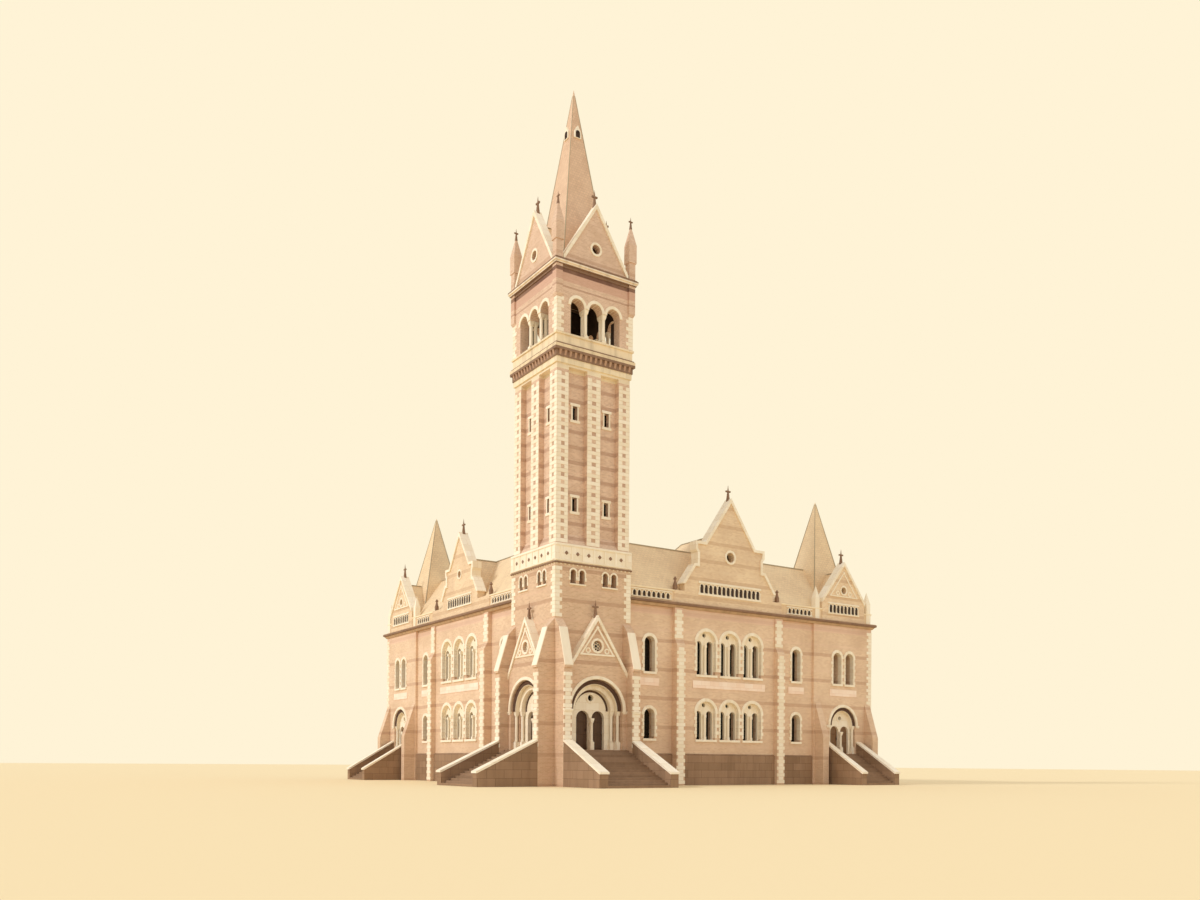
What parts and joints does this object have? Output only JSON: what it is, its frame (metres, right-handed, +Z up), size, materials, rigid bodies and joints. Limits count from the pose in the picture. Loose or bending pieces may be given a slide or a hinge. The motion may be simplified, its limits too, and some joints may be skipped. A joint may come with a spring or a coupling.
{
  "type": "half-size model of a corner church with a campanile",
  "caption": "Half-size model of a polychrome brick church on a street corner: a campanile with a spire over two porches, arcaded street fronts, steep gables and slate roofs.",
  "frame": {"origin": "middle of the plan's box at ground level", "axes": "+Z up, the streets on -Y and -X, the tower on the corner between them"},
  "size_m": [17.535, 17.535, 23.4],
  "materials": {
    "brick": "matt",
    "dressed_stone": "matt",
    "dark_stone": "matt",
    "slate": "matt",
    "flat_roof": "matt",
    "floor_timber": "matt",
    "door_timber": "satin",
    "hinge_iron": "satin",
    "window_glass": "gloss"
  },
  "bodies": {
    "building": {"tower_base_walls": "brick", "porch_fronts": "brick", "tower_buttresses": "brick", "tower_shaft": "brick", "belfry_walls": "brick", "belfry_piers": "brick", "tower_gables": "brick", "link_walls": "brick", "centre_bay_walls": "brick", "pavilion_walls": "brick", "back_walls": "brick", "street_buttresses": "brick", "centre_gables": "brick", "pavilion_gables": "brick", "parapets": "brick", "corner_turrets": "brick", "portal_arches": "dressed_stone", "portal_columns": "dressed_stone", "portal_screens": "dressed_stone", "tower_frieze": "dressed_stone", "belfry_columns": "dressed_stone", "window_tracery": "dressed_stone", "window_sills": "dressed_stone", "apron_bands": "dressed_stone", "gable_copings": "dressed_stone", "porch_copings": "dressed_stone", "tower_gable_copings": "dressed_stone", "pinnacles": "dressed_stone", "finials": "dressed_stone", "spire_lucarnes": "dressed_stone", "step_copings": "dressed_stone", "street_steps": "dressed_stone", "belfry_cornice": "dark_stone", "tower_cornice": "dark_stone", "street_cornice": "dark_stone", "plinths": "dark_stone", "step_walls": "dark_stone", "main_roof": "slate", "cross_roofs": "slate", "pavilion_roofs": "slate", "tower_roof": "slate", "spire": "slate", "roof_deck": "flat_roof", "ground_floor": "floor_timber", "upper_floor": "floor_timber", "tower_floors": "floor_timber", "pavilion_doors": "door_timber", "door_hinges": "hinge_iron", "window_glass": "window_glass", "back_glass": "window_glass"},
    "south_left_door": {"south_left_door": "door_timber"},
    "south_right_door": {"south_right_door": "door_timber"},
    "west_left_door": {"west_left_door": "door_timber"},
    "west_right_door": {"west_right_door": "door_timber"}
  },
  "joints": [
    {"name": "south_left_door_hinge", "type": "hinge", "parent": "building", "child": "south_left_door", "pos_m": [-5.1475, -5.6955, 1.82525], "axis": [0, 0, 1], "range_deg": [0, 90]},
    {"name": "south_right_door_hinge", "type": "hinge", "parent": "building", "child": "south_right_door", "pos_m": [-4.0175, -5.6955, 1.82525], "axis": [0, 0, -1], "range_deg": [0, 90]},
    {"name": "west_left_door_hinge", "type": "hinge", "parent": "building", "child": "west_left_door", "pos_m": [-5.6955, -4.0175, 1.82525], "axis": [0, 0, 1], "range_deg": [0, 90]},
    {"name": "west_right_door_hinge", "type": "hinge", "parent": "building", "child": "west_right_door", "pos_m": [-5.6955, -5.1475, 1.82525], "axis": [0, 0, -1], "range_deg": [0, 90]}
  ]
}
